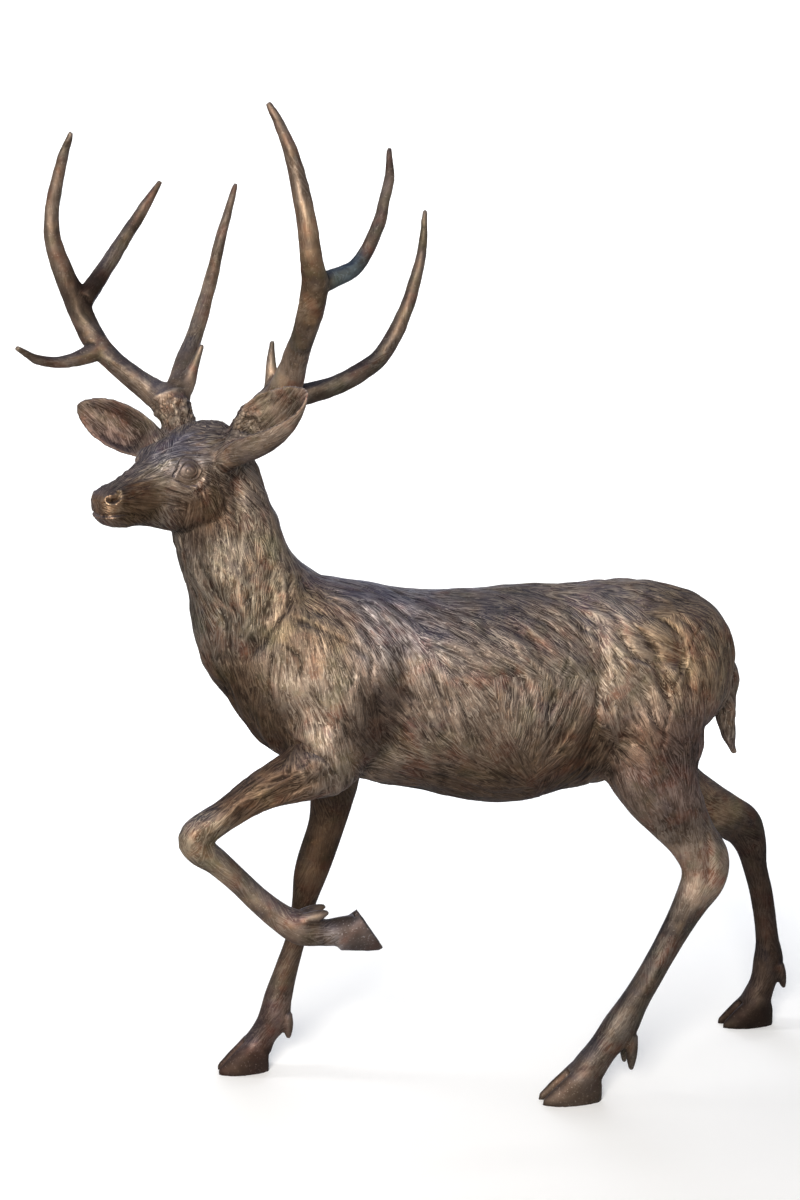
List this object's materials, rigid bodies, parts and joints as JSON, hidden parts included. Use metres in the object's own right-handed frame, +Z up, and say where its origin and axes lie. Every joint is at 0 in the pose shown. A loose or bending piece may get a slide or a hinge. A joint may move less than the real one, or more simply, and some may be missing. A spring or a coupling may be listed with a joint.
{
  "type": "deer sculpture",
  "caption": "Life-size cast bronze stag walking with one foreleg raised, head turned to its left, branching antlers, fur textured coat, brown patina.",
  "frame": {"origin": "on the ground under the middle of the figure's outline", "axes": "+Z up along the height to the antler tips, -X the way the stag walks, -Y its left side, towards which the head turns"},
  "size_m": [1.561, 0.6093, 1.7804],
  "materials": {
    "bronze": "brown patinated bronze, rubbed on the high fur, satin"
  },
  "bodies": {
    "root": {"deer": "bronze"}
  },
  "joints": []
}
